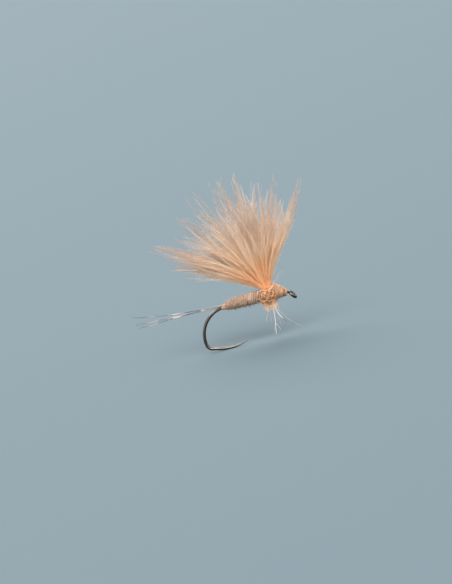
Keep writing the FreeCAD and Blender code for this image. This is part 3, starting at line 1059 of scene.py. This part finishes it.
class FLY_OT_wing(bpy.types.Operator):
    """Grows the soft barbs of the five wing feathers"""

    bl_idname = "fly.wing"
    bl_label = "Wing barbs"

    ROOT = (-3.1, 0.0, 1.1)
    # Barbs that lean this way grow straight from the root.
    UPRIGHT = 100
    # How far the front barbs start ahead of the root and the rear barbs above it, and the degrees
    # of lean over which each shift grows.
    FRONT_REACH, FRONT_SPAN = 0.42, 42
    REAR_RISE, REAR_LEAN, REAR_SPAN = 0.42, 115, 40
    ROOT_SPREAD = (0.16, 0.22, 0.10)
    # Barbs that stray from their clump: their share, their length and how far they stray.
    LOOSE_SHARE, LOOSE_LENGTH, LOOSE_STRAY = 0.22, 0.86, 3
    # The shortest barb is this much shorter than its clump; above 1, more barbs are long.
    SHORTEST, LENGTH_POWER = 0.48, 1.15
    # A barb sets off nearer upright than it ends, by these shares, and bows over this length.
    REAR_START, FRONT_START = 0.68, 0.25
    BOW_LENGTH = 3.2
    SIDEWAYS, SIDEWAYS_LIMIT = 5.0, 11
    PATH_POINTS = 18
    TEMPLATES = 8
    TEMPLATE_LENGTH = 13.0
    STEM_RADIUS, STEM_TAPER = 0.028, 0.60
    BARBULE_RADIUS = 0.008
    # Barbules made in one mesh before it joins the barb, which keeps the work quick.
    BATCH = 105
    SEED = 11

    def execute(self, context):
        settings = context.scene.fly_wing
        rng = np.random.default_rng(self.SEED)
        material = barb_finish(settings)
        templates = [self.barb_template(settings, rng) for _ in range(self.TEMPLATES)]
        for number, clumps in enumerate(WING_CLUMPS):
            bundle = Bundle()
            weights = np.array([clump[3] for clump in clumps])
            for _ in range(settings.barbs_per_feather):
                clump = clumps[rng.choice(len(clumps), p=weights / weights.sum())]
                template = templates[rng.integers(len(templates))]
                loose = rng.random() < self.LOOSE_SHARE
                path = self.barb_path(rng, clump, loose)
                bundle.lay(template, path, np.clip(rng.normal(0.50, 0.20), 0, 1))
            name, node = f"soft_barbs_{number + 1}", f"wing_barbs_{number + 1}"
            bundle.seal(name, material, "feather_barbs", node)
        drop(*templates)
        return {"FINISHED"}

    def barb_template(self, settings, rng):
        """A straight barb with its barbules, whose z runs from 0 to 1."""
        big = bmesh.new()
        stem = rod(4, 14)
        points = points_of(stem)
        size = self.STEM_RADIUS * (1 - self.STEM_TAPER * points[:, 2])
        points[:, 0] *= size
        points[:, 1] *= size
        stem.vertices.foreach_set("co", points.ravel())
        big.from_mesh(stem)
        drop(stem)
        left = settings.barbules_per_barb
        while left > 0:
            batch = bmesh.new()
            for _ in range(min(left, self.BATCH)):
                self.barbule(batch, settings, rng)
            mesh = mesh_of(batch, "barbules")
            big.from_mesh(mesh)
            drop(mesh)
            left -= self.BATCH
        return mesh_of(big, "barb")

    def barbule(self, bm, settings, rng):
        """A fine hair off the barb, longest half way up and shorter at both ends."""
        share = 0.12 + 0.85 * rng.random() ** 0.8
        swell = math.sin(math.pi * min(1, share * 1.15)) ** 0.6
        reach = settings.barbule_length / MM * (0.45 + 0.55 * swell)
        reach *= rng.uniform(0.40, 1.0) * (1 - 0.35 * share)
        tilt = math.radians(rng.normal(46, 14))
        place = (
            Matrix.Scale(1 / self.TEMPLATE_LENGTH, 4, (0, 0, 1))
            @ Matrix.Translation((0, 0, share * self.TEMPLATE_LENGTH))
            @ Matrix.Rotation(rng.random() * math.tau, 4, "Z")
            @ Matrix.Rotation(tilt, 4, "Y")
            @ Matrix.Translation((0, 0, reach / 2))
        )
        bmesh.ops.create_cone(
            bm, cap_ends=True, segments=3, radius1=self.BARBULE_RADIUS, radius2=0, depth=reach,
            matrix=place,
        )

    def barb_path(self, rng, clump, loose):
        """A barb that ends near its clump's tip, seen from the wing's root."""
        lean, full, looseness, _, curl = clump
        upright = self.UPRIGHT
        count = self.PATH_POINTS
        share = np.linspace(0, 1, count)
        if loose:
            lean = upright + (lean - upright) * (1 - 0.12 * abs(rng.normal()))
            lean += rng.normal(0, self.LOOSE_STRAY)
            full *= self.LOOSE_LENGTH
        forward = self.FRONT_REACH * max(0, (upright - lean) / self.FRONT_SPAN)
        rise = self.REAR_RISE * max(0, (lean - self.REAR_LEAN) / self.REAR_SPAN)
        aim = direction(lean) * full - Vector((forward, 0, rise))
        lean = math.degrees(math.atan2(aim.z, aim.x))
        full = aim.length
        length = full * (1 - self.SHORTEST * rng.random() ** self.LENGTH_POWER)
        start = upright + (lean - upright) * (self.REAR_START if lean > upright else self.FRONT_START)
        # The mean of the bow along the barb, so that the whole barb leans as it should.
        mean = self.BOW_LENGTH / length * (1 - math.exp(-length / self.BOW_LENGTH))
        end = (lean - mean * start) / (1 - mean)
        angle = end + (start - end) * np.exp(-share * length / self.BOW_LENGTH)
        curling = (share * length / full) ** 2 * 1.6 - 0.53
        angle = angle + curl * curling * np.clip(share * length / 2.5, 0, 1)
        angle = angle + rng.normal(0, looseness) * (1 - 1.8 * share) + wave(rng, count, 1.6)
        sideways = np.clip(rng.normal(0, self.SIDEWAYS), -self.SIDEWAYS_LIMIT, self.SIDEWAYS_LIMIT)
        sideways = np.radians(sideways + wave(rng, count, 1.5))
        angle = np.radians(angle)
        heading = np.stack(
            [np.cos(angle) * np.cos(sideways), np.sin(sideways), np.sin(angle) * np.cos(sideways)],
            axis=1,
        )
        steps = heading[:-1] * (length / (count - 1))
        spread_x, spread_y, spread_z = self.ROOT_SPREAD
        root = np.array(self.ROOT) + np.array(
            [forward + rng.normal(0, spread_x), rng.normal(0, spread_y), rise + rng.normal(0, spread_z)]
        )
        return root + np.vstack([np.zeros(3), np.cumsum(steps, axis=0)])


class FLY_OT_stage(bpy.types.Operator):
    """Sets the floor, the lights and the camera"""

    bl_idname = "fly.stage"
    bl_label = "Stage"

    AZIMUTH = 8.0
    ELEVATION = 7.0
    ROLL = 15.0
    # Where the middle of the view lies from the eye, along the view's right and up.
    MIDDLE = (-8.58, 0.285)
    SENSOR = 36
    # Each light: name, where it comes from, power and softness in degrees.
    SUNS = (
        ("key", (0.25, -1.0, 1.0), 5.5, 50),
        ("fill", (-0.9, -1.0, 0.35), 2.2, 60),
        ("side", (1.0, -0.35, 0.15), 1.3, 55),
        ("back", (-0.35, 1.0, 0.9), 4.0, 50),
    )
    ROOM_COLOUR = (0.80, 0.88, 0.95, 1)
    ROOM_STRENGTH = 0.75
    FLOOR_SIZE = 8

    def execute(self, context):
        settings = context.scene.fly_stage
        self.floor(settings)
        for light in self.SUNS:
            self.sun(*light)
        world = bpy.data.worlds.new("soft_room")
        world.use_nodes = True
        background = world.node_tree.nodes["Background"]
        background.inputs["Color"].default_value = self.ROOM_COLOUR
        background.inputs["Strength"].default_value = self.ROOM_STRENGTH
        context.scene.world = world
        context.scene.view_settings.view_transform = "Standard"
        self.camera(context, settings)
        return {"FINISHED"}

    def floor(self, settings):
        """A wide floor that the hook's bend rests on."""
        bm = bmesh.new()
        bmesh.ops.create_grid(bm, x_segments=1, y_segments=1, size=self.FLOOR_SIZE)
        bmesh.ops.translate(bm, vec=(0, 0, cad_bounds[0][2]), verts=bm.verts)
        mesh = mesh_of(bm, "floor")
        mesh.materials.append(floor_finish(settings))
        into_scene("floor", mesh)

    def sun(self, name, source, power, softness):
        """A soft even light from a direction."""
        data = bpy.data.lights.new(name, "SUN")
        data.energy = power
        data.angle = math.radians(softness)
        lamp = into_scene(name, data)
        lamp.rotation_euler = (-Vector(source)).to_track_quat("-Z", "Y").to_euler()

    def camera(self, context, settings):
        """A long lens, a little above the fly and rolled so that its shank climbs."""
        azimuth = math.radians(self.AZIMUTH)
        elevation = math.radians(self.ELEVATION)
        right = Vector((math.cos(azimuth), math.sin(azimuth), 0))
        back = Vector((math.sin(azimuth), -math.cos(azimuth), 0)) * math.cos(elevation)
        back += Vector((0, 0, math.sin(elevation)))
        up = back.cross(right)
        roll = Matrix.Rotation(-math.radians(self.ROLL), 3, back)
        right = roll @ right
        up = roll @ up
        middle = (right * self.MIDDLE[0] + up * self.MIDDLE[1]) * MM
        data = bpy.data.cameras.new("camera")
        data.sensor_fit = "HORIZONTAL"
        data.sensor_width = self.SENSOR
        data.lens = self.SENSOR * settings.distance / settings.view_width
        data.clip_start = 0.01
        data.clip_end = 50
        camera = into_scene("camera", data)
        turn = Matrix((right, up, back)).transposed().to_4x4()
        camera.matrix_world = Matrix.Translation(middle + back * settings.distance) @ turn
        context.scene.camera = camera


class FLY_PT_panel(bpy.types.Panel):
    """The fly's pieces, in tying order"""

    bl_idname = "FLY_PT_panel"
    bl_label = "Dry Fly"
    bl_space_type = "VIEW_3D"
    bl_region_type = "UI"
    bl_category = "Dry Fly"

    def draw(self, context):
        for operator in PIECES:
            self.layout.operator(operator.bl_idname)
        for name in SETTINGS:
            group = getattr(context.scene, name)
            box = self.layout.box()
            for key in group.bl_rna.properties.keys():
                if key not in ("rna_type", "name"):
                    box.prop(group, key)


SETTINGS = {
    "fly_hook": HookSettings,
    "fly_thread": ThreadSettings,
    "fly_hackle": HackleSettings,
    "fly_body": BodySettings,
    "fly_wing": WingSettings,
    "fly_stage": StageSettings,
}
PIECES = (
    FLY_OT_stage, FLY_OT_hook, FLY_OT_tail, FLY_OT_abdomen, FLY_OT_wing_stems, FLY_OT_wing, FLY_OT_legs,
    FLY_OT_thorax, FLY_OT_thread,
)


def register():
    for name, group in SETTINGS.items():
        bpy.utils.register_class(group)
        setattr(bpy.types.Scene, name, bpy.props.PointerProperty(type=group))
    for operator in PIECES:
        bpy.utils.register_class(operator)
    bpy.utils.register_class(FLY_PT_panel)


def unregister():
    bpy.utils.unregister_class(FLY_PT_panel)
    for operator in reversed(PIECES):
        bpy.utils.unregister_class(operator)
    for name, group in SETTINGS.items():
        delattr(bpy.types.Scene, name)
        bpy.utils.unregister_class(group)


def main():
    register()
    for operator in PIECES:
        group, name = operator.bl_idname.split(".")
        getattr(getattr(bpy.ops, group), name)()


if __name__ == "__main__":
    main()
